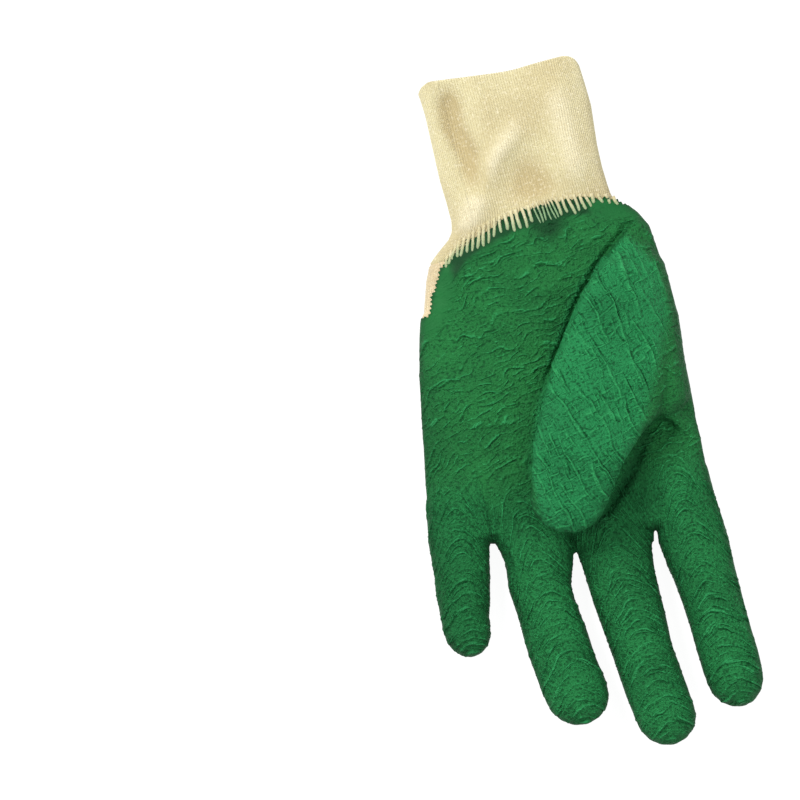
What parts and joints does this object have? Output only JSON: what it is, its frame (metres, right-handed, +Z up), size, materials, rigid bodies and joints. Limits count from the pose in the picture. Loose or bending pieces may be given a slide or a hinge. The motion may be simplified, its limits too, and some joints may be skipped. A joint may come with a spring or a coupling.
{
  "type": "gardening glove",
  "caption": "Left-hand gardening glove of knitted cotton with a crinkled rubber coat and a knitted wrist, lying palm up with the thumb folded over the palm.",
  "frame": {"origin": "middle of the back of the hand, on the flat face that the glove lies on", "axes": "+X across the hand towards the thumb, +Y from the fingertips to the cuff's mouth, +Z up, out of the palm"},
  "size_m": [0.113, 0.2573, 0.0406],
  "materials": {
    "rubber_coat": "crinkled, dull with a slight sheen",
    "cotton_liner": "fine plain knit",
    "knit_cuff": "ribbed knit"
  },
  "bodies": {
    "root": {"rubber_coat": "rubber_coat", "cotton_liner": "cotton_liner", "knit_cuff": "knit_cuff"}
  },
  "joints": []
}
